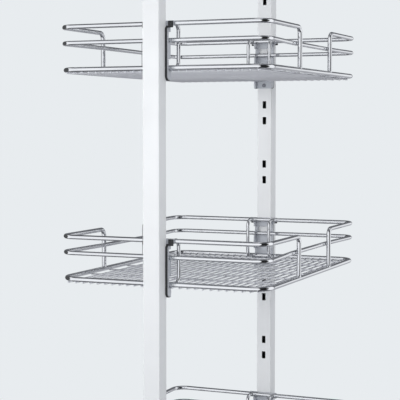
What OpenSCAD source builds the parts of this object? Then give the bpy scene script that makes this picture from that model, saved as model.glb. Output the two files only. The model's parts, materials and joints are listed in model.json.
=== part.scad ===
// Pull-out larder unit: slotted posts, hung wire baskets, telescopic floor runners, top guide.
// Millimetres. +X to the right, +Y to the back of the cabinet, +Z up.
// Origin: on the cabinet floor, midway between the two posts. The unit pulls out along -Y.

/* [Frame] */
// Height of each post
post_len = 1850; // [1300:10:2050]
// Width of a post across the unit
post_w = 30; // [24:0.5:32]
// Depth of a post along the unit
post_d = 28; // [22:0.5:40]
// Wall thickness of the hollow post
post_wall = 2; // [1.6:0.1:3]
// Outside corner radius of the post
post_corner = 1.6; // [0.8:0.1:3]
// Thickness of the flange of a post's end cap
cap_t = 2.5; // [1.5:0.1:4]
// Height of the top beam
beam_h = 28; // [20:1:40]
// Wall thickness of the top beam
beam_wall = 1.8; // [1.2:0.1:3]
// Distance from the top of the beam to the top of the posts
beam_drop = 14; // [4:1:40]

/* [Post slots] */
// Width of a hanging slot
slot_w = 7.6; // [6:0.1:10]
// Height of a hanging slot
slot_h = 14.8; // [12:0.1:18]
// Distance between the two slots of a pair
slot_pair = 32; // [24:1:40]
// Distance from one pair to the next
slot_pitch = 120; // [100:1:150]
// Number of slot pairs in a post
slot_pairs = 14; // [10:1:15]
// Height of the lowest pair's upper slot above the cabinet floor
slot_first = 216; // [200:1:260]

/* [Baskets] */
// Number of slot pairs from one basket to the next
pairs_per_level = 3; // [2:1:4]
// Width over the centres of the rails
basket_w = 380; // [300:2:460]
// Length over the centres of the rails
basket_l = 492; // [440:2:520]
// Height of the top rail above the bottom wire
top_rise = 73; // [60:0.5:100]
// Height of the middle rail above the bottom wire
mid_rise = 45.3; // [36:0.1:60]
// Diameter of the top rails and their legs
rail_d = 8; // [6:0.1:9]
// Diameter of the middle rail
mid_d = 7.5; // [5:0.1:8.5]
// Diameter of the bottom wire
bottom_d = 8.4; // [6:0.1:9]
// Bend radius of the top and middle rails at the corners
corner_r = 25; // [15:1:45]
// Bend radius of the bottom wire at the corners
bottom_corner_r = 31; // [15:1:50]
// Distance between the legs of the front and back top rails
access_l = 170; // [120:2:240]
// Bend radius at the top of each leg
leg_bend_r = 12; // [7:0.5:20]
// Angle at which the middle rail turns in to pass inside the legs
mid_turn = 3.5; // [3:0.1:5]
// Bend radius of that turn
mid_turn_r = 100; // [60:5:150]

/* [Basket floor] */
// Diameter of the long floor wires
floor_d = 2.8; // [2:0.1:4]
// Pitch of the long floor wires
floor_pitch = 14; // [10:0.5:24]
// Least gap from the outer long wires to the ends of the cross wires
floor_side = 4; // [2:0.5:12]
// How far the long floor wires run past the rail centres
floor_past = 1.5; // [0:0.1:3]
// Diameter of the cross wires
cross_d = 3; // [2:0.1:4]
// Pitch of the cross wires
cross_pitch = 72; // [50:1:100]
// Least gap from the outer cross wires to the end rails
cross_side = 14; // [8:1:40]

/* [Basket pockets] */
// Diameter of the pocket wires beside a hanger
pocket_d = 6.5; // [4:0.1:7]
// Distance between the two pocket wires
pocket_w = 45; // [44:0.5:60]
// Distance from the end rails in to the pocket wires
pocket_in = 26; // [18:0.5:50]
// Bend radius of the pocket wires
pocket_bend_r = 12; // [5:0.5:13]

/* [Hangers] */
// Width over a hanger's side flanges
hang_w = 37.4; // [37:0.1:38]
// Thickness of the side flanges
flange_t = 3.2; // [2:0.1:3.4]
// Thickness of the web
hang_t = 2.5; // [2:0.1:4]
// How far the flanges reach in under the rails
flange_in = 7.3; // [5:0.1:8]
// How far the flanges wrap around the post
flange_out = 7.7; // [5:0.1:16]
// Distance the hanger reaches below the bottom wire
hang_below = 21; // [19:0.5:30]
// Rounding of the flange's lower outer corner
flange_r = 8; // [3:0.5:12]
// Height of the upper hook above the bottom wire
tab_up = 66; // [64:0.5:67]
// Width of a hook
tab_w = 6; // [4:0.1:7]
// Thickness of a hook
tab_t = 2.5; // [2:0.1:3]
// Drop of a hook behind the post wall
tab_drop = 5; // [3:0.1:6]
// Width of each ear under the top rail
ear_w = 10; // [4:0.5:14]
// Width of the window over the middle rail
window_w = 22; // [10:0.5:24]
// Free height over the middle and bottom wires for lifting the basket
lift_room = 10; // [9:0.1:11]
// Distance of the locking screw below the bottom wire
lock_below = 15; // [13:0.5:18]

/* [Floor runners] */
// Length of the runner members
runner_len = 500; // [400:10:600]
// Height of the fixed member
runner_h = 45; // [40:0.5:50]
// Thickness over a closed runner
runner_t = 12.7; // [12:0.1:14]
// Distance between the backs of the two fixed members
runner_gap = 92; // [80:1:120]
// Height of the runner centre lines above the cabinet floor
runner_z = 30; // [26:0.5:40]
// Sheet thickness of the fixed member's back
outer_web = 1.8; // [1.2:0.1:2]
// Sheet thickness of the other runner parts
runner_sheet = 1.5; // [1.2:0.1:1.6]
// Diameter of the balls
ball_d = 3.7; // [3:0.1:3.8]
// Pitch of the balls
ball_pitch = 22; // [12:1:40]
// Number of balls in a row
ball_count = 9; // [4:1:12]

/* [Base and carriage] */
// Width of the base plate
base_w = 180; // [150:1:260]
// Length of the base plate
base_l = 552; // [520:1:700]
// Sheet thickness of the base
base_t = 2.5; // [2:0.1:4]
// Height of the upstands that carry the fixed members
upstand_h = 51; // [48:0.5:60]
// Width of the fixing slots
fix_slot_w = 5.5; // [4:0.1:8]
// Length of the fixing slots
fix_slot_l = 12; // [8:0.5:20]
// Distance between fixing slots across the base
fix_dx = 150; // [120:1:170]
// Distance between fixing slots along the base
fix_dy = 440; // [300:5:480]
// Diameter of the two rubber stops
stop_d = 12; // [8:0.5:16]
// Sheet thickness of the carriage
carr_t = 2.5; // [2:0.1:4]
// Height of the carriage's top face above the cabinet floor
carr_top = 58.5; // [55:0.5:70]
// Height of the carriage's lower edge above the cabinet floor
carr_low = 12; // [8:0.5:17]
// Width of the windows in the base plate
base_win_w = 56; // [30:1:70]
// Length of the windows in the base plate
base_win_l = 70; // [40:1:80]
// Plain length at each end of the base plate
base_win_end = 62; // [50:1:80]

/* [Brackets] */
// Height of a corner bracket's leg on the post
brk_h = 60; // [40:1:64]
// Length of a corner bracket's foot
brk_l = 50; // [36:1:80]
// Thickness of the corner brackets
brk_t = 3; // [2:0.1:5]
// Width of a door bracket
door_w = 130; // [100:2:200]
// Height of a door bracket
door_h = 44; // [36:1:80]
// Thickness of a door bracket
door_t = 2.5; // [2:0.1:4]
// Distance between a door bracket's fixing holes across the door
door_dx = 104; // [80:1:170]
// Distance between a door bracket's fixing holes up the door
door_dz = 20; // [14:1:50]
// Diameter of the door fixing holes
door_hole = 5; // [4:0.1:7]
// Height of the lower door bracket's centre
door_z_low = 200; // [160:5:500]
// Height of the upper door bracket's centre
door_z_high = 1740; // [1400:5:1780]
// Depth of the folded edges of a door bracket
door_lip = 9; // [5:0.5:14]
// Step from a door bracket's middle to its wings
door_step = 3.5; // [3:0.1:6]

/* [Top guide] */
// Inside width of the top rail
guide_in = 26; // [20:0.5:40]
// Wall thickness of the top rail
guide_wall = 2; // [1.5:0.1:3]
// Height of the top rail
guide_h = 24; // [18:0.5:32]
// Length of the top rail
guide_l = 560; // [520:5:640]
// Gap between the post caps and the top rail
guide_gap = 5; // [3:0.5:10]
// Diameter of the fixing holes in the top rail
guide_hole = 4.5; // [3.5:0.1:6]
// Distance between the fixing holes in the top rail
guide_dy = 450; // [400:5:520]
// Height of a guide roller
roller_h = 14; // [8:0.5:18]
// Diameter of a roller axle
axle_d = 6; // [4:0.1:8]
// Distance between the two rollers
roller_dy = 28; // [27:1:60]
// Distance of the back roller from the back post
roller_back = 17; // [14:0.5:40]

/* [Fits] */
// Gap between a basket and what carries it
seat_gap = 0.3; // [0.2:0.05:0.5]
// Gap at a welded touch between two parts
weld_gap = 0.05; // [0.02:0.01:0.1]
// Overlap of two welded wires
weld_in = 0.4; // [0.2:0.05:0.6]
// Gap between a moving part and the part that guides it
guide_clear = 0.3; // [0.2:0.05:0.5]
// Radial clearance of a roller on its axle
axle_clear = 0.05; // [0.02:0.01:0.1]
// Diameter of the screws
screw_d = 4; // [3:0.1:5]
// Diameter of the screw heads
head_d = 7.6; // [6:0.1:10]
// Height of the screw heads
head_h = 2.4; // [1.5:0.1:3]
// Radial clearance of a screw in its hole
screw_clear = 0.15; // [0.05:0.05:0.3]

/* [Hidden] */
$fn = 32;
levels = 5;
rail_r = rail_d / 2;
half_w = basket_w / 2;
half_l = basket_l / 2;
leg_y = access_l / 2;
web_y = half_l + max(rail_d, mid_d, bottom_d) / 2 + seat_gap;
post_y = web_y + hang_t;
post_out = post_y + post_d;
carr_half = runner_gap / 2 - runner_t;
post_z = carr_top;
post_top = post_z + post_len;
beam_top = post_top - beam_drop;
beam_mid = beam_top - beam_h / 2;
level_rise = pairs_per_level * slot_pitch;
level_first = slot_first - tab_up;
hang_top = top_rise + rail_r;
ledge_z = top_rise - rail_r - seat_gap;
mid_notch_low = mid_rise - mid_d / 2 - seat_gap;
mid_notch_high = mid_rise + mid_d / 2 + lift_room;
low_notch_low = -bottom_d / 2 - seat_gap;
low_notch_high = bottom_d / 2 + lift_room;
floor_z = -bottom_d / 2 - floor_d / 2 - weld_gap;
cross_z = floor_z + floor_d / 2 + cross_d / 2 - weld_in;
mid_in = half_w - rail_r - mid_d / 2 + weld_in;
hole_d = screw_d + 2 * screw_clear;
guide_z = post_top + cap_t + guide_gap;
roller_d = guide_in - 2 * guide_clear;
roller_y = post_y - roller_back;
roller_z = guide_z + (guide_h - guide_wall) / 2 - roller_h / 2;
guide_back = 275;
joint_in = 0.1;
joint_step = 0.16;

function level_z(n) = level_first + (n - 1) * level_rise;

// ---- shared shapes ----

// Parts of the front end are the same parts as at the back, turned half round.
module at_end(front) {
  rotate([0, 0, front ? 180 : 0])
    children();
}

// 2D rectangle with round corners, centred
module soft_rect(w, h, r) {
  square([w - 2 * r, h], center = true);
  square([w, h - 2 * r], center = true);
  for (x = [-1, 1], y = [-1, 1])
    translate([x * (w / 2 - r), y * (h / 2 - r)])
      circle(r = r);
}

// 2D slot with round ends, along X
module slot_shape(l, w) {
  square([l - w, w], center = true);
  for (s = [-1, 1])
    translate([s * (l - w) / 2, 0])
      circle(d = w);
}

// Round wire between two points
module rod(a, b, d) {
  v = b - a;
  l = norm(v);
  translate(a)
    rotate([0, acos(v[2] / l), atan2(v[1], v[0])])
      cylinder(d = d, h = l);
}

// Part of a wire ring about the local Z axis, from angle start through sweep
module bend(r, d, start, sweep = 90) {
  rotate([0, 0, start])
    rotate_extrude(angle = sweep)
      translate([r, 0])
        circle(d = d);
}

// The same bend in the YZ plane: angle 180 is up, 270 is towards -Y, 0 is down
module bend_up(r, d, start) {
  rotate([0, 90, 0])
    bend(r, d, start);
}

// Pan-head screw along +Y, head outside at y < 0
module screw_y(l) {
  rotate([-90, 0, 0])
    cylinder(d = screw_d, h = l);
  rotate([90, 0, 0])
    cylinder(d = head_d, h = head_h);
}

// Hole along Y, centred
module hole_y(d, l) {
  rotate([90, 0, 0])
    cylinder(d = d, h = l, center = true);
}

// ---- baskets ----

// Closed wire with round corners, in the XY plane
module wire_loop(hx, hy, r, d) {
  for (s = [-1, 1]) {
    rod([-(hx - r), s * hy, 0], [hx - r, s * hy, 0], d);
    rod([s * hx, -(hy - r), 0], [s * hx, hy - r, 0], d);
  }
  for (q = [0 : 3]) {
    sx = (q == 0 || q == 3) ? 1 : -1;
    sy = (q < 2) ? 1 : -1;
    translate([sx * (hx - r), sy * (hy - r), 0])
      bend(r, d, q * 90);
  }
}

// Back half of the top rail: round the end of the basket, down into a leg on each side
module top_half() {
  translate([0, 0, top_rise])
    rod([-(half_w - corner_r), half_l, 0], [half_w - corner_r, half_l, 0], rail_d);
  for (s = [0, 1])
    mirror([s, 0, 0]) {
      translate([half_w - corner_r, half_l - corner_r, top_rise])
        bend(corner_r, rail_d, 0);
      rod([half_w, leg_y + leg_bend_r, top_rise], [half_w, half_l - corner_r, top_rise], rail_d);
      translate([half_w, leg_y + leg_bend_r, top_rise - leg_bend_r])
        bend_up(leg_bend_r, rail_d, 180);
      rod([half_w, leg_y, 0], [half_w, leg_y, top_rise - leg_bend_r], rail_d);
    }
}

// Slanting wire between two bends. It is a hair thinner and its ends run into the bends.
module rod_between(a, b, d) {
  u = (b - a) / norm(b - a);
  rod(a - joint_in * u, b + joint_in * u, d - joint_step);
}

// Middle rail. Each side runs inside the legs and swings out to the corners.
module mid_loop() {
  cx = half_w - corner_r;
  cy = half_l - corner_r;
  sx = cx + corner_r * cos(mid_turn);
  sy = cy - corner_r * sin(mid_turn);
  ex = mid_in + mid_turn_r * (1 - cos(mid_turn));
  ey = sy - (sx - ex) / tan(mid_turn);
  ky = round((ey - mid_turn_r * sin(mid_turn)) * 10) / 10;
  for (s = [-1, 1]) {
    rod([-cx, s * half_l, 0], [cx, s * half_l, 0], mid_d);
    rod([s * mid_in, -ky, 0], [s * mid_in, ky, 0], mid_d);
  }
  for (mx = [0, 1], my = [0, 1])
    mirror([mx, 0, 0])
      mirror([0, my, 0]) {
        translate([cx, cy, 0])
          mirror([1, -1, 0])
            bend(corner_r, mid_d, 0, 90 + mid_turn);
        rod_between([ex, ky + mid_turn_r * sin(mid_turn), 0], [sx, sy, 0], mid_d);
        translate([mid_in + mid_turn_r, ky, 0])
          mirror([0, 1, 0])
            bend(mid_turn_r, mid_d, 180, mid_turn);
      }
}

// Wire beside the hanger: in from the top rail, down, and out to the bottom wire
module pocket_wire() {
  x = pocket_w / 2;
  y = half_l - pocket_in;
  r = pocket_bend_r;
  rod([x, y, r], [x, y, top_rise - r], pocket_d);
  translate([x, y + r, top_rise - r])
    bend_up(r, pocket_d, 180);
  rod([x, y + r, top_rise], [x, half_l, top_rise], pocket_d);
  translate([x, y + r, r])
    bend_up(r, pocket_d, 270);
  rod([x, y + r, 0], [x, half_l, 0], pocket_d);
}

module basket_rails(n) {
  $fn = 24;
  color([0.80, 0.81, 0.83])
    translate([0, 0, level_z(n)]) {
      wire_loop(half_w, half_l, bottom_corner_r, bottom_d);
      for (front = [false, true])
        at_end(front)
          top_half();
      translate([0, 0, mid_rise])
        mid_loop();
      for (mx = [0, 1], my = [0, 1])
        mirror([mx, 0, 0])
          mirror([0, my, 0])
            pocket_wire();
    }
}

module basket_floor(n) {
  long_end = half_l + floor_past;
  cross_end = half_w - bottom_d / 2 - 2 * weld_gap;
  floor_count = 2 * floor((cross_end - floor_side) / floor_pitch + 0.5);
  cross_count = 2 * floor((half_l - cross_side) / cross_pitch) + 1;
  color([0.74, 0.75, 0.77])
    translate([0, 0, level_z(n)]) {
      for (i = [0 : floor_count - 1]) {
        x = (i - (floor_count - 1) / 2) * floor_pitch;
        rod([x, -long_end, floor_z], [x, long_end, floor_z], floor_d);
      }
      for (i = [0 : cross_count - 1]) {
        y = (i - (cross_count - 1) / 2) * cross_pitch;
        rod([-cross_end, y, cross_z], [cross_end, y, cross_z], cross_d);
      }
    }
}

// ---- hangers ----

// Outline of the web in X and Z, with an ear on each side under the top rail
module web_outline() {
  ear_low = hang_top - rail_d - ear_w;
  difference() {
    union() {
      translate([-hang_w / 2, -hang_below])
        square([hang_w, hang_below + hang_top]);
      translate([-hang_w / 2 - ear_w, ear_low])
        square([hang_w + 2 * ear_w, hang_top - ear_low]);
    }
    for (s = [-1, 1])
      translate([s * (hang_w / 2 + ear_w), ear_low])
        circle(r = ear_w);
    translate([0, (mid_notch_low + mid_notch_high) / 2])
      soft_rect(window_w, mid_notch_high - mid_notch_low, 2);
  }
}

// Outline of a side flange in Y and Z
module flange_outline() {
  y_in = web_y - flange_in;
  y_out = web_y + flange_out;
  chamfer = flange_out - hang_t;
  difference() {
    union() {
      polygon([
        [y_in, -hang_below],
        [y_out - flange_r, -hang_below],
        [y_out - flange_r, flange_r - hang_below],
        [y_out, flange_r - hang_below],
        [y_out, ledge_z - chamfer],
        [web_y + hang_t, ledge_z],
        [y_in, ledge_z]
      ]);
      translate([y_out - flange_r, flange_r - hang_below])
        circle(r = flange_r);
    }
    translate([y_in - 1, mid_notch_low])
      square([flange_in + 1, mid_notch_high - mid_notch_low]);
    translate([y_in - 1, low_notch_low])
      square([flange_in + 1, low_notch_high - low_notch_low]);
  }
}

module hook(z) {
  wall_in = post_y + post_wall;
  low = z - slot_h / 2 + seat_gap;
  translate([-tab_w / 2, web_y + hang_t / 2, low])
    cube([tab_w, wall_in + tab_t / 2 + seat_gap - web_y - hang_t / 2, slot_h / 2]);
  translate([-tab_w / 2, wall_in + seat_gap, low - tab_drop])
    cube([tab_w, tab_t, slot_h / 2 + tab_drop]);
}

module hanger(n, front) {
  color([0.70, 0.71, 0.74])
    at_end(front)
      translate([0, 0, level_z(n)]) {
        difference() {
          translate([0, web_y + hang_t, 0])
            rotate([90, 0, 0])
              linear_extrude(height = hang_t)
                web_outline();
          translate([0, web_y, -lock_below])
            hole_y(hole_d, 4 * hang_t);
        }
        for (x = [-hang_w / 2, hang_w / 2 - flange_t])
          translate([x, 0, 0])
            rotate([90, 0, 90])
              linear_extrude(height = flange_t)
                flange_outline();
        hook(tab_up);
        hook(tab_up - slot_pair);
      }
}

module hanger_screws() {
  color([0.35, 0.36, 0.38])
    for (n = [1 : levels], front = [false, true])
      at_end(front)
        translate([0, web_y, level_z(n) - lock_below])
          screw_y(hang_t + post_wall + 3);
}

// ---- posts and frame ----

module post(front) {
  color([0.86, 0.87, 0.88])
    at_end(front)
      difference() {
        translate([0, post_y + post_d / 2, post_z])
          linear_extrude(height = post_len)
            difference() {
              soft_rect(post_w, post_d, post_corner);
              square([post_w - 2 * post_wall, post_d - 2 * post_wall], center = true);
            }
        for (i = [0 : slot_pairs - 1], k = [0, 1])
          translate([0, post_y + 1.5 * post_wall, slot_first + i * slot_pitch - k * slot_pair])
            rotate([90, 0, 0])
              linear_extrude(height = 2 * post_wall)
                soft_rect(slot_w, slot_h, 1);
        for (n = [1 : levels])
          translate([0, post_y, level_z(n) - lock_below])
            hole_y(hole_d, 3 * post_wall);
        for (z = [post_z + 22, post_z + 46, beam_top - beam_h - 22, beam_top - beam_h - 46])
          translate([0, post_y, z])
            hole_y(hole_d, 3 * post_wall);
        if (front)
          for (z = [door_z_low, door_z_high], x = [-7, 7])
            translate([x, post_out, z])
              hole_y(hole_d, 3 * post_wall);
      }
}

module post_cap(front) {
  color([0.16, 0.16, 0.17])
    at_end(front)
      translate([0, post_y + post_d / 2, post_top]) {
        linear_extrude(height = cap_t)
          soft_rect(post_w, post_d, post_corner);
        translate([0, 0, -12])
          linear_extrude(height = 13)
            square([post_w - 2 * post_wall - 0.4, post_d - 2 * post_wall - 0.4], center = true);
      }
}

module top_beam() {
  color([0.86, 0.87, 0.88])
    difference() {
      translate([0, 0, beam_mid])
        cube([post_w, 2 * post_y, beam_h], center = true);
      translate([0, 0, beam_mid])
        cube([post_w - 2 * beam_wall, 2 * post_y + 2, beam_h - 2 * beam_wall], center = true);
      for (s = [-1, 1], d = [18, 38])
        translate([0, s * (post_y - d), beam_top - beam_h])
          cylinder(d = hole_d, h = 3 * beam_wall, center = true);
      for (y = [roller_y, roller_y - roller_dy])
        translate([0, y, beam_top])
          cylinder(d = axle_d + 0.4, h = 3 * beam_wall, center = true);
    }
}

// L bracket with a rib, in the corner of post and carriage. Corner at the local origin,
// foot towards -Y, leg up.
module corner_bracket() {
  w = post_w;
  difference() {
    union() {
      translate([-w / 2, -brk_l, 0])
        cube([w, brk_l, brk_t]);
      translate([-w / 2, -brk_t, 0])
        cube([w, brk_t, brk_h]);
      for (x = [-w / 2, w / 2 - brk_t])
        translate([x, 0, 0])
          rotate([90, 0, 90])
            linear_extrude(height = brk_t)
              polygon([[0, 0], [-brk_l, 0], [-brk_l, brk_t], [-brk_t, brk_h], [0, brk_h]]);
    }
    for (z = [22, 46])
      translate([0, 0, z])
        hole_y(hole_d, 4 * brk_t);
    for (y = [18, 38])
      translate([0, -y, 0])
        cylinder(d = hole_d, h = 4 * brk_t, center = true);
  }
}

module foot_bracket(front) {
  color([0.62, 0.63, 0.66])
    at_end(front)
      translate([0, post_y, post_z])
        corner_bracket();
}

module head_bracket(front) {
  color([0.62, 0.63, 0.66])
    at_end(front)
      translate([0, post_y, beam_top - beam_h])
        mirror([0, 0, 1])
          corner_bracket();
}

// Screws of one corner bracket, heads on the bracket's inside
module bracket_screws(l) {
  for (z = [22, 46])
    translate([0, -brk_t, z])
      screw_y(brk_t + post_wall + 3);
  for (y = [18, 38])
    translate([0, -y, brk_t])
      rotate([-90, 0, 0])
        screw_y(brk_t + l);
}

module frame_screws() {
  color([0.35, 0.36, 0.38])
    for (front = [false, true])
      at_end(front) {
        translate([0, post_y, post_z])
          bracket_screws(carr_t + 3);
        translate([0, post_y, beam_top - beam_h])
          mirror([0, 0, 1])
            bracket_screws(beam_wall + 3);
      }
}

// ---- door brackets ----

door_mid = post_w / 2 + 3;

// Hat section in X and Y: the middle lies on the post, the wings stand forward of the screw heads
module door_hat() {
  translate([-door_mid - door_t, -door_t])
    square([2 * (door_mid + door_t), door_t]);
  for (x = [-door_mid - door_t, door_mid])
    translate([x, -door_t - door_step])
      square([door_t, door_t + door_step]);
  for (x = [-door_w / 2, door_mid])
    translate([x, -door_t - door_step])
      square([door_w / 2 - door_mid, door_t]);
}

module door_bracket(z) {
  color([0.62, 0.63, 0.66])
    translate([0, -post_out, z])
      difference() {
        union() {
          translate([0, 0, -door_h / 2])
            linear_extrude(height = door_h)
              door_hat();
          for (s = [-1, 1], e = [-1, 1]) {
            lip_w = door_w / 2 - door_mid;
            lip_x = s > 0 ? door_mid : -door_w / 2;
            lip_z = e > 0 ? door_h / 2 - door_t : -door_h / 2;
            translate([lip_x, -door_t - door_step, lip_z])
              cube([lip_w, door_t + door_step + door_lip, door_t]);
          }
        }
        for (x = [-1, 1], y = [-1, 1])
          translate([x * door_dx / 2, -door_step, y * door_dz / 2])
            hole_y(door_hole, 4 * door_t);
        for (x = [-7, 7])
          translate([x, 0, 0])
            hole_y(hole_d, 4 * door_t);
      }
}

module door_screws() {
  color([0.35, 0.36, 0.38])
    for (z = [door_z_low, door_z_high], x = [-7, 7])
      translate([x, -post_out - door_t, z])
        screw_y(door_t + post_wall + 3);
}

// ---- floor runners ----

// Runner members are drawn on the right: x is measured in from the fixed member's back.
module runner_place(left) {
  mirror([left ? 1 : 0, 0, 0])
    translate([runner_gap / 2, -runner_len / 2, runner_z])
      rotate([90, 0, 180])
        linear_extrude(height = runner_len)
          children();
}

// C section: the web from web_x, both flanges from flange_x
module channel_2d(web_x, web_t, flange_x, flange_l, half_h) {
  translate([web_x, -half_h])
    square([web_t, 2 * half_h]);
  for (y = [-half_h, half_h - runner_sheet])
    translate([flange_x, y])
      square([flange_l, runner_sheet]);
}

outer_half = runner_h / 2;
ball_a_low = outer_half - runner_sheet - guide_clear - ball_d;
mid_half = ball_a_low;
ball_b_top = mid_half - runner_sheet;
inner_half = ball_b_top - ball_d - guide_clear;
rivet_ys = [-runner_len / 2 + 30, 0, runner_len / 2 - 30];
outer_depth = runner_t - 1.2;
lip_t = 1.2;
lip_h = 1.35;
mid_web = outer_web + 1.4;
mid_depth = runner_t - 2.7 - mid_web;
inner_depth = runner_t - mid_web - runner_sheet - 1.3;
ball_x = mid_web + runner_sheet + 2.8;
cage_w = 3.2;
cage_t = 1.2;

module rivet_holes_x(x0, l, y) {
  translate([x0, y, runner_z])
    rotate([0, 90, 0])
      cylinder(d = hole_d, h = l, center = true);
}

module runner_outer(left) {
  color([0.75, 0.76, 0.78])
    difference() {
      runner_place(left) {
        channel_2d(0, outer_web, 0, outer_depth, outer_half);
        for (y = [lip_h - outer_half, outer_half - lip_h])
          translate([outer_depth - lip_t / 2, y])
            square([lip_t, 2 * lip_h], center = true);
      }
      for (y = rivet_ys)
        rivet_holes_x((left ? -1 : 1) * runner_gap / 2, 4 * outer_web, y);
    }
}

module runner_mid(left) {
  color([0.72, 0.73, 0.75])
    runner_place(left)
      channel_2d(mid_web, runner_sheet, mid_web, mid_depth, mid_half);
}

module runner_inner(left) {
  color([0.75, 0.76, 0.78])
    difference() {
      runner_place(left)
        channel_2d(runner_t - runner_sheet, runner_sheet, runner_t - inner_depth, inner_depth, inner_half);
      for (y = rivet_ys)
        rivet_holes_x((left ? -1 : 1) * carr_half, 4 * runner_sheet, y);
    }
}

// Balls in their cage strips, kept by the middle member
module ball_rows(left) {
  color([0.55, 0.56, 0.58])
    mirror([left ? 1 : 0, 0, 0])
      for (s = [-1, 1], row = [0, 1]) {
        z = row == 0 ? mid_half + ball_d / 2 : ball_b_top - ball_d / 2;
        x = runner_gap / 2 - ball_x;
        translate([x, 0, runner_z + s * z]) {
          cube([cage_w, ball_pitch * ball_count, cage_t], center = true);
          for (i = [0 : ball_count - 1])
            translate([0, (i - (ball_count - 1) / 2) * ball_pitch, 0])
              sphere(d = ball_d);
        }
      }
}

// Dome-head rivet along +X, head at x < 0
module rivet(l) {
  rotate([0, 90, 0])
    cylinder(d = screw_d, h = l);
  rotate([0, -90, 0])
    cylinder(d = 6.5, h = 0.9);
}

module base_rivets() {
  color([0.50, 0.51, 0.53])
    for (left = [0, 1], y = rivet_ys)
      mirror([left, 0, 0])
        translate([runner_gap / 2 - outer_web, y, runner_z])
          rivet(outer_web + base_t + 0.8);
}

module carriage_rivets() {
  color([0.50, 0.51, 0.53])
    for (left = [0, 1], y = rivet_ys)
      mirror([left, 0, 0])
        translate([carr_half + runner_sheet, y, runner_z])
          mirror([1, 0, 0])
            rivet(runner_sheet + carr_t + 0.8);
}

// ---- base ----

base_back = 290;
stop_y = post_out + seat_gap;
stop_z = 38;
stop_x = 18;

module base_tray() {
  up_x = runner_gap / 2;
  back = stop_y + 3;
  color([0.66, 0.67, 0.70])
    difference() {
      union() {
        translate([-base_w / 2, base_back - base_l, 0])
          cube([base_w, base_l, base_t]);
        for (s = [0, 1])
          mirror([s, 0, 0])
            translate([up_x, -runner_len / 2 - 6, 0])
              cube([base_t, runner_len + 12, upstand_h]);
        translate([-34, back, 0])
          cube([68, base_t, upstand_h]);
      }
      for (sx = [-1, 1], sy = [-1, 1])
        translate([sx * fix_dx / 2, sy * fix_dy / 2, 0])
          linear_extrude(height = 3 * base_t, center = true)
            slot_shape(fix_slot_l, fix_slot_w);
      for (i = [-1.5 : 1 : 1.5])
        translate([0, i * (base_l - 2 * base_win_end) / 4, 0])
          linear_extrude(height = 3 * base_t, center = true)
            soft_rect(base_win_w, base_win_l, 10);
      for (y = rivet_ys)
        rivet_holes_x(0, 2 * up_x + 8 * base_t, y);
      for (x = [-stop_x, stop_x])
        translate([x, back, stop_z])
          hole_y(6.1, 4 * base_t);
    }
}

module stop_buffers() {
  color([0.10, 0.10, 0.11])
    for (x = [-stop_x, stop_x])
      translate([x, stop_y, stop_z])
        rotate([-90, 0, 0]) {
          cylinder(d = stop_d, h = 3);
          cylinder(d = 6, h = 3 + base_t + 1);
        }
}

module carriage() {
  color([0.66, 0.67, 0.70])
    difference() {
      union() {
        translate([-carr_half, -post_out, carr_top - carr_t])
          cube([2 * carr_half, 2 * post_out, carr_t]);
        for (x = [-carr_half, carr_half - carr_t])
          translate([x, -post_out, carr_low])
            cube([carr_t, 2 * post_out, carr_top - carr_low]);
        for (y = [-post_out, post_out - carr_t])
          translate([-carr_half, y, carr_low + 8])
            cube([2 * carr_half, carr_t, carr_top - carr_low - 8]);
      }
      for (y = rivet_ys)
        rivet_holes_x(0, 3 * carr_half, y);
      for (s = [-1, 1], d = [18, 38])
        translate([0, s * (post_y - d), carr_top])
          cylinder(d = hole_d, h = 4 * carr_t, center = true);
    }
}

// ---- top guide ----

module top_rail() {
  w = guide_in + 2 * guide_wall;
  mid_y = guide_back - guide_l / 2;
  color([0.82, 0.83, 0.84])
    difference() {
      translate([0, guide_back, guide_z])
        rotate([90, 0, 0])
          linear_extrude(height = guide_l)
            difference() {
              translate([-w / 2, 0])
                square([w, guide_h]);
              translate([-guide_in / 2, -1])
                square([guide_in, guide_h - guide_wall + 1]);
            }
      for (y = [mid_y - guide_dy / 2, mid_y + guide_dy / 2])
        translate([0, y, guide_z + guide_h])
          cylinder(d = guide_hole, h = 4 * guide_wall, center = true);
    }
}

// Plate on the beam with two fixed axles
module guide_plate() {
  color([0.62, 0.63, 0.66])
    translate([0, 0, beam_top]) {
      translate([-post_w / 2, roller_y - roller_dy - 16, 0])
        cube([post_w, roller_dy + 30, 3]);
      for (y = [roller_y, roller_y - roller_dy])
        translate([0, y, 0]) {
          translate([0, 0, -6])
            cylinder(d = axle_d, h = roller_z + roller_h + 2.6 - beam_top + 6);
          cylinder(d = 11, h = roller_z - 0.3 - beam_top);
          translate([0, 0, roller_z + roller_h + 0.3 - beam_top])
            cylinder(d = 10, h = 2.2);
        }
    }
}

module guide_roller(rear) {
  color([0.93, 0.93, 0.91])
    translate([0, rear ? roller_y : roller_y - roller_dy, roller_z])
      rotate_extrude()
        polygon([
          [axle_d / 2 + axle_clear, 0],
          [roller_d / 2 - 1.2, 0],
          [roller_d / 2, 1.2],
          [roller_d / 2, roller_h - 1.2],
          [roller_d / 2 - 1.2, roller_h],
          [axle_d / 2 + axle_clear, roller_h]
        ]);
}

// ---- nodes ----

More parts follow.
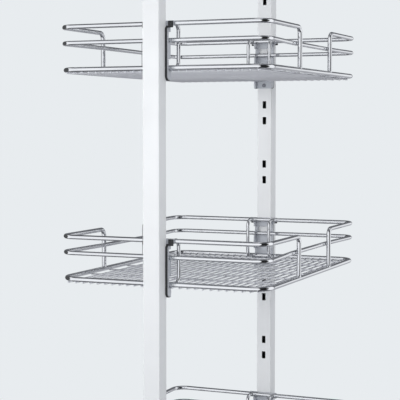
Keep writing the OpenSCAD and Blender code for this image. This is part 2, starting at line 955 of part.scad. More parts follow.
base_tray();
runner_outer(true);  // runner_outer_left
runner_outer(false);  // runner_outer_right
base_rivets();
stop_buffers();
top_rail();
runner_mid(true);  // runner_mid_left
ball_rows(true);  // ball_rows_left
runner_mid(false);  // runner_mid_right
ball_rows(false);  // ball_rows_right
carriage();
runner_inner(true);  // runner_inner_left
runner_inner(false);  // runner_inner_right
carriage_rivets();
post(true);  // post_front
post(false);  // post_rear
post_cap(true);  // post_cap_front
post_cap(false);  // post_cap_rear
top_beam();
foot_bracket(true);  // foot_bracket_front
foot_bracket(false);  // foot_bracket_rear
head_bracket(true);  // head_bracket_front
head_bracket(false);  // head_bracket_rear
frame_screws();
door_bracket(door_z_low);  // door_bracket_lower
door_bracket(door_z_high);  // door_bracket_upper
door_screws();
guide_plate();
guide_roller(false);  // guide_roller_front
guide_roller(true);  // guide_roller_rear
hanger(1, true);  // hanger_front_1
hanger(2, true);  // hanger_front_2
hanger(3, true);  // hanger_front_3
hanger(4, true);  // hanger_front_4
hanger(5, true);  // hanger_front_5
hanger(1, false);  // hanger_rear_1
hanger(2, false);  // hanger_rear_2
hanger(3, false);  // hanger_rear_3
hanger(4, false);  // hanger_rear_4
hanger(5, false);  // hanger_rear_5
hanger_screws();
basket_rails(1);  // basket_rails_1
basket_rails(2);  // basket_rails_2
basket_rails(3);  // basket_rails_3
basket_rails(4);  // basket_rails_4
basket_rails(5);  // basket_rails_5
basket_floor(1);  // basket_floor_1
basket_floor(2);  // basket_floor_2
basket_floor(3);  // basket_floor_3
basket_floor(4);  // basket_floor_4
basket_floor(5);  // basket_floor_5
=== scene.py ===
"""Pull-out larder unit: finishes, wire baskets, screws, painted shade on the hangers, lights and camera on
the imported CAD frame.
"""
import json
import math

import bmesh
import bpy
from mathutils import Matrix, Vector


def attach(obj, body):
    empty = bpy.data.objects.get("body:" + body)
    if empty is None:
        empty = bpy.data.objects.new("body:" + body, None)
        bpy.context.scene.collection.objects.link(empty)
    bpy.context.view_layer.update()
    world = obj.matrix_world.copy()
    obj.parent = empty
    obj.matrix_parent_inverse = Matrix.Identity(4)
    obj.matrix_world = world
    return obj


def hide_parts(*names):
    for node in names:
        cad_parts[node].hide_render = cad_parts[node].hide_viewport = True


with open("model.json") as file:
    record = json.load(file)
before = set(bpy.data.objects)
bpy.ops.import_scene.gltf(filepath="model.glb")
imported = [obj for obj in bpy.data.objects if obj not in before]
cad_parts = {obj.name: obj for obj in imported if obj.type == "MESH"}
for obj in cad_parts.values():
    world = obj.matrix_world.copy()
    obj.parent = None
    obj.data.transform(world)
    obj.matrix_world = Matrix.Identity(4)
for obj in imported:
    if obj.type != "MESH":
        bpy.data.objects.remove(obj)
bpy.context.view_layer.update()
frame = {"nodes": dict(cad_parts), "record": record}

MM = 0.001

# ---- sizes of the baskets, as in the CAD model ----
LEVELS = range(1, 6)
LEVEL_FIRST = 150 * MM
LEVEL_RISE = 360 * MM
HALF_W = 190 * MM
HALF_L = 246 * MM
TOP_RISE = 73 * MM
MID_RISE = 45.3 * MM
RAIL_R = 4 * MM
MID_R = 3.75 * MM
BOTTOM_R = 4.2 * MM
CORNER_R = 25 * MM
BOTTOM_CORNER_R = 31 * MM
LEG_Y = 85 * MM
LEG_BEND_R = 12 * MM
MID_TURN = math.radians(3.5)
MID_TURN_R = 100 * MM
MID_IN = HALF_W - RAIL_R - MID_R + 0.4 * MM
POCKET_R = 3.25 * MM
POCKET_X = 22.5 * MM
POCKET_IN = 26 * MM
POCKET_BEND_R = 12 * MM
FLOOR_R = 1.4 * MM
FLOOR_PITCH = 14 * MM
FLOOR_COUNT = 26
FLOOR_PAST = 1.5 * MM
CROSS_R = 1.5 * MM
CROSS_PITCH = 72 * MM
CROSS_COUNT = 7
FLOOR_Z = -BOTTOM_R - FLOOR_R - 0.05 * MM
CROSS_Z = FLOOR_Z + FLOOR_R + CROSS_R - 0.4 * MM
CROSS_END = HALF_W - BOTTOM_R - 0.1 * MM

# ---- sizes of the hangers and the frame, as in the CAD model ----
WEB_Y = HALF_L + BOTTOM_R + 0.3 * MM
POST_Y = WEB_Y + 2.5 * MM
POST_OUT = POST_Y + 28 * MM
POST_Z = 58.5 * MM
BEAM_LOW = 1866.5 * MM
BRACKET_T = 3 * MM
DOOR_T = 2.5 * MM
DOOR_HEIGHTS = (200 * MM, 1740 * MM)
SCREWS_UP = (22 * MM, 46 * MM)
SCREWS_ALONG = (18 * MM, 38 * MM)
DOOR_SCREW_X = 7 * MM
HANGER_SCREW_DROP = 15 * MM
HANG_HALF = 18.7 * MM
FLANGE_T = 3.2 * MM
FLANGE_LOW = -21 * MM
FLANGE_END = WEB_Y + 7.7 * MM
FLANGE_R = 8 * MM
LEDGE_Z = 68.7 * MM


def level(n):
    """Height of basket n's bottom wire."""
    return LEVEL_FIRST + (n - 1) * LEVEL_RISE


# ---- nodes for the materials and the world ----

def fresh_tree(owner, output):
    """Empties a material's or world's nodes. Returns its tree and its new output's surface socket."""
    owner.use_nodes = True
    tree = owner.node_tree
    tree.nodes.clear()
    return tree, tree.nodes.new(output).inputs["Surface"]


def noise(tree, scale, detail, stretch):
    """Noise in the object's own coordinates; scale is in features per metre."""
    coord = tree.nodes.new("ShaderNodeTexCoord")
    mapping = tree.nodes.new("ShaderNodeMapping")
    mapping.inputs["Scale"].default_value = stretch
    tex = tree.nodes.new("ShaderNodeTexNoise")
    tex.inputs["Scale"].default_value = scale
    tex.inputs["Detail"].default_value = detail
    tree.links.new(coord.outputs["Object"], mapping.inputs["Vector"])
    tree.links.new(mapping.outputs["Vector"], tex.inputs["Vector"])
    return tex.outputs["Fac"]


def remap(tree, value, low, high):
    """The 0.3 to 0.7 part of a noise, spread from low to high."""
    node = tree.nodes.new("ShaderNodeMapRange")
    node.inputs["From Min"].default_value = 0.3
    node.inputs["From Max"].default_value = 0.7
    node.inputs["To Min"].default_value = low
    node.inputs["To Max"].default_value = high
    tree.links.new(value, node.inputs["Value"])
    return node.outputs["Result"]


def tint(tree, value, dark, light):
    """Colour that drifts between two close tones."""
    ramp = tree.nodes.new("ShaderNodeValToRGB")
    for element, position, tone in zip(ramp.color_ramp.elements, (0.35, 0.65), (dark, light)):
        element.position = position
        element.color = (*tone, 1)
    tree.links.new(value, ramp.inputs["Fac"])
    return ramp.outputs["Color"]


def smooth_range(tree, value, low, high):
    """0 at low, 1 at high; high may be the smaller of the two."""
    node = tree.nodes.new("ShaderNodeMapRange")
    node.interpolation_type = "SMOOTHSTEP"
    node.inputs["From Min"].default_value = low
    node.inputs["From Max"].default_value = high
    tree.links.new(value, node.inputs["Value"])
    return node.outputs["Result"]


def combine(tree, operation, first, second=None):
    """A Math node on one socket, on two sockets, or on a socket and a number."""
    node = tree.nodes.new("ShaderNodeMath")
    node.operation = operation
    tree.links.new(first, node.inputs[0])
    if isinstance(second, (int, float)):
        node.inputs[1].default_value = second
    elif second is not None:
        tree.links.new(second, node.inputs[1])
    return node.outputs["Value"]


def blend(tree, factor, first, second):
    """From first to second as factor goes from 0 to 1. Each is a socket or a colour."""
    node = tree.nodes.new("ShaderNodeMix")
    node.data_type = "RGBA"
    for socket, value in (("A", first), ("B", second)):
        if isinstance(value, tuple):
            node.inputs[socket].default_value = (*value, 1)
        else:
            tree.links.new(value, node.inputs[socket])
    tree.links.new(factor, node.inputs["Factor"])
    return node.outputs["Result"]


def mix_shaders(tree, factor, first, second):
    """From the first shader to the second as factor goes from 0 to 1."""
    node = tree.nodes.new("ShaderNodeMixShader")
    for socket, value in zip(node.inputs, (factor, first, second)):
        tree.links.new(value, socket)
    return node.outputs["Shader"]


# ---- materials ----

DRIFT_SCALE = 9
RELIEF_DEPTH = 0.2 * MM
# Half-sizes and soft border of the posts' hollow insides, and the near-black colour painted there as shade
SHADE_HALF_X = 14 * MM
SHADE_HALF_Y = 13 * MM
SHADE_SOFT = 0.2 * MM
PAINTED_SHADE_TONE = (0.012, 0.012, 0.014)


def bump(tree, shader, height, strength, edge):
    """Fine relief, on top of softly rounded edges where edge isn't 0."""
    node = tree.nodes.new("ShaderNodeBump")
    node.inputs["Strength"].default_value = strength
    node.inputs["Distance"].default_value = RELIEF_DEPTH
    tree.links.new(height, node.inputs["Height"])
    if edge:
        round_off = tree.nodes.new("ShaderNodeBevel")
        round_off.samples = 4
        round_off.inputs["Radius"].default_value = edge
        tree.links.new(round_off.outputs["Normal"], node.inputs["Normal"])
    tree.links.new(node.outputs["Normal"], shader.inputs["Normal"])


def finish(name, dark, light, metallic, rough, grain, relief, stretch=(1, 1, 1), edge=0.0):
    """A finish with colour drift, uneven gloss and fine relief. Grain is in features per metre."""
    mat = bpy.data.materials.new(name)
    tree, surface = fresh_tree(mat, "ShaderNodeOutputMaterial")
    shader = tree.nodes.new("ShaderNodeBsdfPrincipled")
    tree.links.new(shader.outputs["BSDF"], surface)
    shader.inputs["Metallic"].default_value = metallic
    drift = noise(tree, DRIFT_SCALE, 2, stretch)
    fine = noise(tree, grain, 4, stretch)
    tree.links.new(tint(tree, drift, dark, light), shader.inputs["Base Color"])
    tree.links.new(remap(tree, fine, *rough), shader.inputs["Roughness"])
    bump(tree, shader, fine, relief, edge)
    return mat


def shade_inside_posts(mat):
    """Painted shade: what lies inside both posts' outlines, their hollow insides, is coloured near black for
    the shade that falls there.
    """
    tree = mat.node_tree
    base = next(node for node in tree.nodes if node.type == "BSDF_PRINCIPLED").inputs["Base Color"]
    coated = base.links[0].from_socket
    coord = tree.nodes.new("ShaderNodeTexCoord")
    split = tree.nodes.new("ShaderNodeSeparateXYZ")
    tree.links.new(coord.outputs["Object"], split.inputs["Vector"])
    x = combine(tree, "ABSOLUTE", split.outputs["X"])
    y = combine(tree, "ABSOLUTE", split.outputs["Y"])
    y = combine(tree, "ABSOLUTE", combine(tree, "SUBTRACT", y, (POST_Y + POST_OUT) / 2))
    inside = combine(tree, "MULTIPLY", smooth_range(tree, x, SHADE_HALF_X + SHADE_SOFT, SHADE_HALF_X),
                     smooth_range(tree, y, SHADE_HALF_Y + SHADE_SOFT, SHADE_HALF_Y))
    tree.links.new(blend(tree, inside, coated, PAINTED_SHADE_TONE), base)


chrome_floor = finish("chrome_floor", (0.72, 0.73, 0.77), (0.78, 0.79, 0.82), 1.0, (0.30, 0.40), 160, 0.03)

# The finish of each material slot in the record
FINISHES = {
    "basket_chrome": finish(
        "chrome_wire", (0.70, 0.71, 0.73), (0.78, 0.79, 0.81), 1.0, (0.06, 0.13), 160, 0.02),
    "post_coating": finish(
        "post_coating", (0.80, 0.81, 0.82), (0.85, 0.86, 0.87), 0.0, (0.34, 0.46), 900, 0.10, edge=0.6 * MM),
    "hanger_coating": finish(
        "hanger_coating", (0.50, 0.52, 0.56), (0.56, 0.58, 0.62), 0.12, (0.34, 0.46), 700, 0.12,
        edge=0.6 * MM),
    "sheet_steel": finish(
        "sheet_zinc", (0.52, 0.54, 0.57), (0.66, 0.67, 0.70), 0.55, (0.30, 0.46), 120, 0.08, (1, 0.2, 1),
        edge=0.5 * MM),
    "bracket_steel": finish(
        "bracket_zinc", (0.54, 0.55, 0.58), (0.64, 0.65, 0.68), 0.55, (0.30, 0.44), 260, 0.08,
        edge=0.6 * MM),
    "runner_steel": finish(
        "runner_zinc", (0.60, 0.61, 0.64), (0.74, 0.75, 0.78), 1.0, (0.18, 0.30), 220, 0.06, (1, 0.05, 1),
        edge=0.3 * MM),
    "ball_steel": finish(
        "ball_steel", (0.50, 0.51, 0.53), (0.62, 0.63, 0.65), 1.0, (0.06, 0.14), 400, 0.02),
    "rivet_steel": finish(
        "rivet_steel", (0.42, 0.43, 0.46), (0.54, 0.55, 0.58), 1.0, (0.24, 0.36), 500, 0.06),
    "screw_steel": finish(
        "screw_steel", (0.26, 0.27, 0.30), (0.38, 0.39, 0.42), 1.0, (0.22, 0.36), 600, 0.06),
    "cap_plastic": finish(
        "cap_plastic", (0.018, 0.019, 0.021), (0.028, 0.029, 0.032), 0.0, (0.42, 0.58), 1400, 0.25,
        edge=0.6 * MM),
    "roller_plastic": finish(
        "roller_plastic", (0.78, 0.78, 0.75), (0.84, 0.84, 0.81), 0.0, (0.30, 0.42), 900, 0.10,
        edge=0.5 * MM),
    "buffer_rubber": finish(
        "buffer_rubber", (0.020, 0.020, 0.022), (0.035, 0.035, 0.038), 0.0, (0.62, 0.80), 1100, 0.30,
        edge=0.6 * MM),
    "rail_aluminium": finish(
        "rail_aluminium", (0.64, 0.65, 0.67), (0.72, 0.73, 0.75), 0.45, (0.26, 0.36), 320, 0.08, (1, 0.04, 1),
        edge=0.4 * MM),
}
# Painted shade inside the hollow posts
shade_inside_posts(FINISHES["post_coating"])

slot_of = {part["node"]: part["material_slot"] for part in frame["record"]["subparts"]}
for name, node in frame["nodes"].items():
    node.data.materials.clear()
    node.data.materials.append(FINISHES[slot_of[name]])
    for polygon in node.data.polygons:
        polygon.use_smooth = False


# ---- mesh helpers ----

END_IN = 0.25
END_NARROW = 0.82


def bridge(bm, rings, smooth=True):
    """Faces between each ring of vertices and the next."""
    for a, b in zip(rings, rings[1:]):
        count = len(a)
        for k in range(count):
            face = bm.faces.new((a[k], a[(k + 1) % count], b[(k + 1) % count], b[k]))
            face.smooth = smooth


def arc(centre, radius, start, turn, axes=((1, 0, 0), (0, 1, 0)), steps=10):
    """Points of an arc; axes are the directions of angle 0 and 90. Angles are in radians."""
    u, v = Vector(axes[0]), Vector(axes[1])
    points = []
    for i in range(steps + 1):
        a = start + turn * i / steps
        points.append(Vector(centre) + radius * (math.cos(a) * u + math.sin(a) * v))
    return points


def flip(points, mx, my):
    """The points with x and y multiplied by 1 or -1."""
    return [Vector((p.x * mx, p.y * my, p.z)) for p in points]


def rounded_rectangle(half_x, half_y, radius):
    """Points of a rectangle with round corners, at height 0."""
    points = []
    for quarter, (sx, sy) in enumerate(((1, 1), (-1, 1), (-1, -1), (1, -1))):
        centre = (sx * (half_x - radius), sy * (half_y - radius), 0)
        points += arc(centre, radius, quarter * math.pi / 2, math.pi / 2)
    return points


def circle(bm, centre, tangent, side, radius, sides):
    """Vertices of a circle round the tangent, from the side direction on."""
    other = side.cross(tangent).normalized()
    verts = []
    for k in range(sides):
        a = 2 * math.pi * k / sides
        verts.append(bm.verts.new(centre + radius * (math.cos(a) * side + math.sin(a) * other)))
    return verts


def sweep(bm, points, radius, closed=False, sides=16):
    """Adds a round wire along the points. Open ends are chamfered."""
    points = [Vector(p) for p in points]
    count = len(points)
    tangents = []
    for i in range(count):
        if closed:
            t = points[(i + 1) % count] - points[i - 1]
        else:
            t = points[min(i + 1, count - 1)] - points[max(i - 1, 0)]
        tangents.append(t.normalized())
    up = Vector((0, 0, 1)) if abs(tangents[0].z) < 0.9 else Vector((1, 0, 0))
    side = tangents[0].cross(up).normalized()
    rings = []
    if not closed:
        start, end = points[0], points[-1]
        rings.append(circle(bm, start, tangents[0], side, radius * END_NARROW, sides))
        points[0] = start + tangents[0] * radius * END_IN
        points[-1] = end - tangents[-1] * radius * END_IN
    for point, tangent in zip(points, tangents):
        side = (side - tangent * side.dot(tangent)).normalized()
        rings.append(circle(bm, point, tangent, side, radius, sides))
    if closed:
        rings.append(rings[0])
    else:
        rings.append(circle(bm, end, tangents[-1], side, radius * END_NARROW, sides))
    bridge(bm, rings)
    if not closed:
        bm.faces.new(rings[0][::-1])
        bm.faces.new(rings[-1])


def bead(bm, centre, size, turns=12, rows=8):
    """A small weld bead: an ellipsoid with half-sizes size."""
    grid = []
    for j in range(rows + 1):
        phi = math.pi * j / rows
        grid.append([bm.verts.new(Vector(centre) + Vector((
            size[0] * math.sin(phi) * math.cos(2 * math.pi * k / turns),
            size[1] * math.sin(phi) * math.sin(2 * math.pi * k / turns),
            size[2] * math.cos(phi)))) for k in range(turns)])
    bridge(bm, grid)
    bmesh.ops.remove_doubles(bm, verts=grid[0] + grid[-1], dist=1e-7)


def mesh_of(bm, name, material):
    """The finished mesh, with its normals outwards and its material."""
    bmesh.ops.recalc_face_normals(bm, faces=bm.faces)
    mesh = bpy.data.meshes.new(name)
    bm.to_mesh(mesh)
    bm.free()
    mesh.materials.append(material)
    return mesh


def add_piece(name, mesh, body, stands_for, z=0.0):
    """Links a piece, rides it on its body and lets it stand for its CAD nodes."""
    piece = bpy.data.objects.new(name, mesh)
    bpy.context.scene.collection.objects.link(piece)
    piece.location.z = z
    bpy.context.view_layer.update()
    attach(piece, body)
    if stands_for:
        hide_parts(*stands_for)
    return piece


# ---- wire baskets ----

# Weld beads: half-sizes, and where needed how far they lie inside or above the wire's centreline
LEG_BEAD = (4.1 * MM, 5.6 * MM, 2.6 * MM)
LEG_BEAD_IN = 0.5 * MM
LEG_BEAD_UP = 3.4 * MM
MID_BEAD = (1.4 * MM, 3.2 * MM, 3.0 * MM)
MID_BEAD_IN = 0.2 * MM
POCKET_BEAD = (4.2 * MM, 2.4 * MM, 3.6 * MM)
POCKET_BEAD_IN = 3.2 * MM
FLOOR_BEAD = (1.9 * MM, 2.4 * MM, 0.8 * MM)
FLOOR_BEAD_IN = 1.2 * MM
FLOOR_BEAD_UP = FLOOR_R * 0.7


def top_half():
    """The back top rail with its two legs, as one bent wire."""
    up = ((0, -1, 0), (0, 0, 1))
    leg = [Vector((HALF_W, LEG_Y, 0))]
    leg += arc((HALF_W, LEG_Y + LEG_BEND_R, TOP_RISE - LEG_BEND_R), LEG_BEND_R, 0, math.pi / 2, up)
    leg += arc((HALF_W - CORNER_R, HALF_L - CORNER_R, TOP_RISE), CORNER_R, 0, math.pi / 2)
    return leg + flip(leg, -1, 1)[::-1]


def mid_loop():
    """The middle rail: inside the legs along the sides, out at the corners."""
    cx, cy = HALF_W - CORNER_R, HALF_L - CORNER_R
    sx, sy = cx + CORNER_R * math.cos(MID_TURN), cy - CORNER_R * math.sin(MID_TURN)
    ex = MID_IN + MID_TURN_R * (1 - math.cos(MID_TURN))
    ky = sy - (sx - ex) / math.tan(MID_TURN) - MID_TURN_R * math.sin(MID_TURN)
    quarter = arc((MID_IN + MID_TURN_R, ky, MID_RISE), MID_TURN_R, math.pi, -MID_TURN, steps=4)
    quarter += arc((cx, cy, MID_RISE), CORNER_R, -MID_TURN, math.pi / 2 + MID_TURN)
    half = quarter + flip(quarter, -1, 1)[::-1]
    return half + flip(half, -1, -1)


def pocket_wire():
    """Wire beside a hanger: in from the top rail, down, and out to the bottom wire."""
    y = HALF_L - POCKET_IN
    back = ((0, -1, 0), (0, 0, 1))
    r = POCKET_BEND_R
    points = [Vector((POCKET_X, HALF_L, TOP_RISE))]
    points += arc((POCKET_X, y + r, TOP_RISE - r), r, math.pi / 2, -math.pi / 2, back)
    points += arc((POCKET_X, y + r, r), r, 0, -math.pi / 2, back)
    return points + [Vector((POCKET_X, HALF_L, 0))]


def rails_mesh():
    """Bottom wire, middle rail, both top rails with their legs, and the wires beside the hangers."""
    bm = bmesh.new()
    sweep(bm, rounded_rectangle(HALF_W, HALF_L, BOTTOM_CORNER_R), BOTTOM_R, closed=True)
    sweep(bm, mid_loop(), MID_R, closed=True)
    for my in (1, -1):
        sweep(bm, flip(top_half(), 1, my), RAIL_R)
        for mx in (1, -1):
            sweep(bm, flip(pocket_wire(), mx, my), POCKET_R, sides=14)
            bead(bm, (mx * (HALF_W - LEG_BEAD_IN), my * LEG_Y, LEG_BEAD_UP), LEG_BEAD)
            bead(bm, (mx * (MID_IN + MID_R - MID_BEAD_IN), my * LEG_Y, MID_RISE), MID_BEAD)
            for z in (0, TOP_RISE):
                bead(bm, (mx * POCKET_X, my * (HALF_L - POCKET_BEAD_IN), z), POCKET_BEAD)
    return mesh_of(bm, "rails", FINISHES["basket_chrome"])


def floor_mesh():
    """Long floor wires, welded under the bottom wire, with cross wires on top of them."""
    bm = bmesh.new()
    long_end = HALF_L + FLOOR_PAST
    for i in range(FLOOR_COUNT):
        x = (i - (FLOOR_COUNT - 1) / 2) * FLOOR_PITCH
        sweep(bm, [(x, -long_end, FLOOR_Z), (x, long_end, FLOOR_Z)], FLOOR_R, sides=10)
        for my in (1, -1):
            bead(bm, (x, my * (HALF_L - FLOOR_BEAD_IN), FLOOR_Z + FLOOR_BEAD_UP), FLOOR_BEAD, 10, 6)
    for i in range(CROSS_COUNT):
        y = (i - (CROSS_COUNT - 1) / 2) * CROSS_PITCH
        sweep(bm, [(-CROSS_END, y, CROSS_Z), (CROSS_END, y, CROSS_Z)], CROSS_R, sides=10)
    return mesh_of(bm, "floor", chrome_floor)


rails = rails_mesh()
wires = floor_mesh()
for n in LEVELS:
    add_piece(f"rails_{n}", rails, f"basket_{n}", [f"basket_rails_{n}"], level(n))
    add_piece(f"wires_{n}", wires, f"basket_{n}", [f"basket_floor_{n}"], level(n))


# ---- screws ----

HEAD_R = 3.8 * MM
HEAD_H = 2.4 * MM
SCREW_R = 2 * MM
RECESS_DEPTH = 1.5 * MM
RECESS_ARM = HEAD_R * 0.52
RECESS_HALF = 0.45 * MM
RECESS_TAPER = 0.7
SCREW_TURNS = 24


def lathe(bm, profile, matrix):
    """Revolves (radius, height) points about Z, then places them. Returns the last ring."""
    grid = [[bm.verts.new(matrix @ Vector((r * math.cos(2 * math.pi * k / SCREW_TURNS),
                                           r * math.sin(2 * math.pi * k / SCREW_TURNS), h)))
             for k in range(SCREW_TURNS)] for r, h in profile]
    bridge(bm, grid)
    bm.faces.new(grid[0][::-1])
    return grid[-1]


def screw_mesh(name, places):
    """Pan-head screws with a cross recess. Each place is a matrix with the head along +Z, and a length."""
    bm = bmesh.new()
    arm, half = RECESS_ARM, RECESS_HALF
    cross = [(arm, -half), (arm, half), (half, half), (half, arm), (-half, arm), (-half, half),
             (-arm, half), (-arm, -half), (-half, -half), (-half, -arm), (half, -arm), (half, -half)]
    corners = len(cross)
    for matrix, length in places:
        profile = [(SCREW_R * 0.7, -length), (SCREW_R, -length + 0.8 * MM), (SCREW_R, 0), (HEAD_R, 0),
                   (HEAD_R, HEAD_H * 0.55), (HEAD_R * 0.90, HEAD_H * 0.82), (HEAD_R * 0.70, HEAD_H * 0.97),
                   (HEAD_R * 0.62, HEAD_H)]
        rim = lathe(bm, profile, matrix)
        top = [bm.verts.new(matrix @ Vector((x, y, HEAD_H))) for x, y in cross]
        low = [bm.verts.new(matrix @ Vector((x * RECESS_TAPER, y * RECESS_TAPER, HEAD_H - RECESS_DEPTH)))
               for x, y in cross]
        for k in range(corners):
            following = (k + 1) % corners
            before, middle, after = (rim[(2 * k + step) % SCREW_TURNS] for step in (-1, 0, 1))
            bm.faces.new((top[k], top[following], low[following], low[k]))
            bm.faces.new((before, middle, top[k]))
            bm.faces.new((middle, after, top[following], top[k]))
        bm.faces.new(low)
    return mesh_of(bm, name, FINISHES["screw_steel"])


def facing(x, y, z, direction):
    """A place at (x, y, z) whose +Z points along direction."""
    return Matrix.Translation((x, y, z)) @ Vector(direction).to_track_quat("Z", "Y").to_matrix().to_4x4()


hanger_places = []
frame_places = []
for end in (1, -1):
    inwards = (0, -end, 0)
    for n in LEVELS:
        hanger_places.append((facing(0, end * WEB_Y, level(n) - HANGER_SCREW_DROP, inwards), 7.5 * MM))
    for h in SCREWS_UP:
        for z in (POST_Z + h, BEAM_LOW - h):
            frame_places.append((facing(0, end * (POST_Y - BRACKET_T), z, inwards), 8 * MM))
    for d in SCREWS_ALONG:
        y = end * (POST_Y - d)
        frame_places.append((facing(0, y, POST_Z + BRACKET_T, (0, 0, 1)), 8.5 * MM))
        frame_places.append((facing(0, y, BEAM_LOW - BRACKET_T, (0, 0, -1)), 7.8 * MM))
door_places = [(facing(x, -POST_OUT - DOOR_T, z, (0, -1, 0)), 7.5 * MM)
               for z in DOOR_HEIGHTS for x in (-DOOR_SCREW_X, DOOR_SCREW_X)]

for name, places, node in (("hanger_screw_set", hanger_places, "hanger_screws"),
                           ("frame_screw_set", frame_places, "frame_screws"),
                           ("door_screw_set", door_places, "door_screws")):
    add_piece(name, screw_mesh(name, places), "frame", [node])


# ---- painted shade on the hangers: near-black strips along the flanges and blocks beside the ears ----

# Sizes of the near-black strips, painted shade along the flanges' outer edges
SHADE_STRIP_PROUD = 0.35 * MM
SHADE_STRIP_WRAP = 1.1 * MM
SHADE_STRIP_SIDE = 0.22 * MM
SHADE_STRIP_SOFT = 0.2 * MM
SLANT_TOP = (WEB_Y + 2.7 * MM, LEDGE_Z - 0.2 * MM)
SLANT_LOW_Z = LEDGE_Z - 5.2 * MM
FLANGE_MID_Z = LEDGE_Z - 30 * MM
FLANGE_FOOT_Y = WEB_Y - 4 * MM
# Size and place of the near-black blocks, painted shade beside the ears
SHADE_BLOCK_SIZE = (9.2 * MM, 2.4 * MM, 11 * MM)
SHADE_BLOCK_OUT = 4.9 * MM
SHADE_BLOCK_Z = 71 * MM
SHADE_BLOCK_SUNK = 0.2 * MM
SHADE_BLOCK_SOFT = 1.1 * MM


def shade_strip(bm, points, x0, x1, place):
    """A near-black strip over the flange between x0 and x1, along (y, z) points of its outer edge: painted
    shade for the shadow line there.
    """
    section = ((x0 - SHADE_STRIP_SIDE, -SHADE_STRIP_WRAP), (x0 - SHADE_STRIP_SIDE, SHADE_STRIP_PROUD * 0.4), (x0 + SHADE_STRIP_SOFT, SHADE_STRIP_PROUD),
               (x1 - SHADE_STRIP_SOFT, SHADE_STRIP_PROUD), (x1 + SHADE_STRIP_SIDE, SHADE_STRIP_PROUD * 0.4), (x1 + SHADE_STRIP_SIDE, -SHADE_STRIP_WRAP))
    rings = []
    for i, (y, z) in enumerate(points):
        y0, z0 = points[max(i - 1, 0)]
        y1, z1 = points[min(i + 1, len(points) - 1)]
        t = Vector((y1 - y0, z1 - z0)).normalized()
        rings.append([bm.verts.new(place @ Vector((x, y - t.y * out, z + t.x * out))) for x, out in section])
    bridge(bm, rings, smooth=False)
    bm.faces.new(rings[0][::-1])
    bm.faces.new(rings[-1])


def flange_edge():
    """(y, z) points of a flange's outer edge, from under the top rail down and round the lower corner."""
    points = [SLANT_TOP, (FLANGE_END, SLANT_LOW_Z), (FLANGE_END, FLANGE_MID_Z)]
    for i in range(9):
        a = -math.pi / 2 * i / 8
        points.append((FLANGE_END - FLANGE_R + FLANGE_R * math.cos(a),
                       FLANGE_LOW + FLANGE_R + FLANGE_R * math.sin(a)))
    return points + [(FLANGE_FOOT_Y, FLANGE_LOW)]


def shade_block(bm, place, x):
    """A near-black block with soft edges, on the outside of the web beside an ear: painted shade for the dark
    hollow there.
    """
    block = bmesh.new()
    bmesh.ops.create_cube(block, size=1)
    bmesh.ops.scale(block, vec=SHADE_BLOCK_SIZE, verts=block.verts)
    bmesh.ops.bevel(block, geom=block.edges, offset=SHADE_BLOCK_SOFT, segments=4, profile=0.5, affect="EDGES")
    bmesh.ops.translate(block, vec=(x, POST_Y + SHADE_BLOCK_SIZE[1] / 2 - SHADE_BLOCK_SUNK, SHADE_BLOCK_Z), verts=block.verts)
    block.transform(place)
    mesh = bpy.data.meshes.new("shade_block_mesh")
    block.to_mesh(mesh)
    block.free()
    bm.from_mesh(mesh)
    bpy.data.meshes.remove(mesh)


# Near-black strips along the flanges and blocks beside the ears, both painted shade
edges = bmesh.new()
shade_blocks = bmesh.new()
for n in LEVELS:
    for turn in (0, math.pi):
        place = Matrix.Translation((0, 0, level(n))) @ Matrix.Rotation(turn, 4, "Z")
        for s in (-1, 1):
            low, high = sorted((s * HANG_HALF, s * (HANG_HALF - FLANGE_T)))
            shade_strip(edges, flange_edge(), low, high, place)
            shade_block(shade_blocks, place, s * (HANG_HALF + SHADE_BLOCK_OUT))
# Both meshes are painted shade, given the dark plastic finish
for name, shade_mesh in (("hanger_edges", edges), ("hanger_clips", shade_blocks)):
    add_piece(name, mesh_of(shade_mesh, name, FINISHES["cap_plastic"]), "frame", [])


# ---- background and what metal mirrors ----

BACKGROUND = (0.807, 0.839, 0.863)
SKY_TINT = (0.95, 0.97, 1.0)
SKY_STRENGTH = 0.58
STUDIO_DARK = (0.16, 0.165, 0.18)
STUDIO_LOW = (0.46, 0.47, 0.50)
# Walls that metal mirrors: azimuth from the front towards +X, half the width and half the height, all in
# degrees, and brightness. From left to right: a black flag, a pale wall up to just past the camera, a black
# flag, a pale strip, and a low pale one behind the unit.
STRIPS = (
    (-104, 31, 50, 0.10),
    (-10, 55, 42, 1.12),
    (70, 23, 50, 0.02),
    (119, 19, 40, 1.12),
    (161, 12, 8, 0.95),
)
STRIP_TINT = (1.0, 1.015, 1.04)
STRIP_EDGE = 5
# Heights in the mirrored studio, as sines of the elevation, each with where it starts and where it is full
GREY_TOP = (-0.08, -0.16)
GREY_LOW = (-0.65, -0.55)
CEILING = (0.945, 0.975)


def pale_rays(tree):
    """1 for rays that should see the plain background: camera, glossy and transmission rays."""
    path = tree.nodes.new("ShaderNodeLightPath")
    total = path.outputs["Is Camera Ray"]
    for kind in ("Is Glossy Ray", "Is Transmission Ray"):
        total = combine(tree, "MAXIMUM", total, path.outputs[kind])
    return total


def along(tree, direction, axis):
    """The part of a direction that lies along an axis."""
    dot = tree.nodes.new("ShaderNodeVectorMath")
    dot.operation = "DOT_PRODUCT"
    tree.links.new(direction, dot.inputs[0])
    dot.inputs[1].default_value = axis
    return dot.outputs["Value"]


def strip(tree, direction, azimuth, half_width, half_height):
    """1 where the world direction is in an upright strip round azimuth, 0 outside it."""
    a = math.radians(azimuth)
    mask = smooth_range(tree, along(tree, direction, (math.sin(a), -math.cos(a), 0)), 0, 0.05)
    for axis, half in (((math.cos(a), math.sin(a), 0), half_width), ((0, 0, 1), half_height)):
        off = combine(tree, "ABSOLUTE", along(tree, direction, axis))
        outer, inner = math.sin(math.radians(half + STRIP_EDGE)), math.sin(math.radians(half))
        mask = combine(tree, "MULTIPLY", mask, smooth_range(tree, off, outer, inner))
    return mask


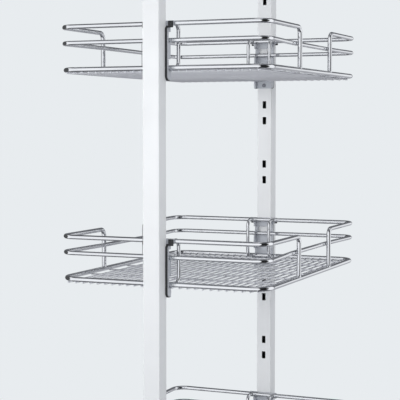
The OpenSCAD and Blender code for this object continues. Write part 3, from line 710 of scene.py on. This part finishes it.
def mirrored_studio(tree):
    """A dark studio with its walls, a pale ceiling, and a grey floor that darkens straight down."""
    coord = tree.nodes.new("ShaderNodeTexCoord")
    direction = coord.outputs["Generated"]
    height = along(tree, direction, (0, 0, 1))
    low = combine(tree, "MULTIPLY", smooth_range(tree, height, *GREY_TOP),
                  smooth_range(tree, height, *GREY_LOW))
    studio = blend(tree, low, STUDIO_DARK, STUDIO_LOW)
    for azimuth, half_width, half_height, brightness in STRIPS:
        pale = tuple(brightness * tone for tone in STRIP_TINT)
        studio = blend(tree, strip(tree, direction, azimuth, half_width, half_height), studio, pale)
    return blend(tree, smooth_range(tree, height, *CEILING), studio, STRIP_TINT)


def studio_world():
    """Even light on the object, the plain background for the camera, and the mirrored studio for metal."""
    world = bpy.data.worlds.new("studio")
    bpy.context.scene.world = world
    tree, surface = fresh_tree(world, "ShaderNodeOutputWorld")
    lit, seen, mirrored = (tree.nodes.new("ShaderNodeBackground") for _ in range(3))
    lit.inputs["Color"].default_value = (*SKY_TINT, 1)
    lit.inputs["Strength"].default_value = SKY_STRENGTH
    seen.inputs["Color"].default_value = (*BACKGROUND, 1)
    tree.links.new(mirrored_studio(tree), mirrored.inputs["Color"])
    path = tree.nodes.new("ShaderNodeLightPath")
    unlit = mix_shaders(tree, path.outputs["Is Glossy Ray"], seen.outputs["Background"],
                        mirrored.outputs["Background"])
    tree.links.new(mix_shaders(tree, pale_rays(tree), lit.outputs["Background"], unlit), surface)


studio_world()


# ---- floor ----

GROUND_TONE = (0.80, 0.82, 0.84)
GROUND_NEAR = 0.9
GROUND_FAR = 2.2
GROUND_RADIUS = 30
GROUND_DROP = 0.5 * MM


def ground_material():
    """Pale floor near the unit that turns into the plain background further off."""
    mat = bpy.data.materials.new("floor_pale")
    tree, surface = fresh_tree(mat, "ShaderNodeOutputMaterial")
    paint = tree.nodes.new("ShaderNodeBsdfDiffuse")
    paint.inputs["Color"].default_value = (*GROUND_TONE, 1)
    plain = tree.nodes.new("ShaderNodeEmission")
    plain.inputs["Color"].default_value = (*BACKGROUND, 1)
    coord = tree.nodes.new("ShaderNodeTexCoord")
    distance = tree.nodes.new("ShaderNodeVectorMath")
    distance.operation = "LENGTH"
    tree.links.new(coord.outputs["Object"], distance.inputs[0])
    far = smooth_range(tree, distance.outputs["Value"], GROUND_NEAR, GROUND_FAR)
    far = combine(tree, "MULTIPLY", far, pale_rays(tree))
    tree.links.new(mix_shaders(tree, far, paint.outputs["BSDF"], plain.outputs["Emission"]), surface)
    return mat


bm = bmesh.new()
bmesh.ops.create_circle(bm, cap_ends=True, segments=96, radius=GROUND_RADIUS)
ground = bpy.data.objects.new("ground", mesh_of(bm, "ground", ground_material()))
bpy.context.scene.collection.objects.link(ground)
ground.location.z = -GROUND_DROP
ground.visible_glossy = False


# ---- lamps ----

# Name, position, the point it looks at, the side of its square in metres, and its power in watts
LAMPS = (
    ("key", (-0.45, -1.25, 1.14), (0, -0.1, 1.14), 0.4, 5.6),
    ("fill", (1.35, -0.85, 1.55), (0, -0.1, 1.2), 0.5, 4.5),
    ("inner", (-0.80, -0.25, 1.12), (0, 0.25, 1.12), 0.4, 2.0),
    ("top", (0.2, 0.4, 4.0), (0, 0, 1.0), 2.2, 16),
)

for name, position, target, size, power in LAMPS:
    light = bpy.data.lights.new(name, "AREA")
    light.size = size
    light.energy = power
    lamp = bpy.data.objects.new(name, light)
    bpy.context.scene.collection.objects.link(lamp)
    lamp.location = position
    lamp.rotation_euler = (Vector(target) - Vector(position)).to_track_quat("-Z", "Y").to_euler()
    lamp.visible_glossy = False
    lamp.visible_camera = False


# ---- camera ----

scene = bpy.context.scene
camera = bpy.data.objects.new("camera", bpy.data.cameras.new("camera"))
scene.collection.objects.link(camera)
camera.location = (0.87793, -2.11572, 1.13826)
camera.rotation_euler = (math.radians(86.47), 0, math.radians(23.30))
camera.data.sensor_width = 36
camera.data.lens = 111.62
scene.camera = camera
scene.view_settings.view_transform = "Standard"

bpy.context.view_layer.update()
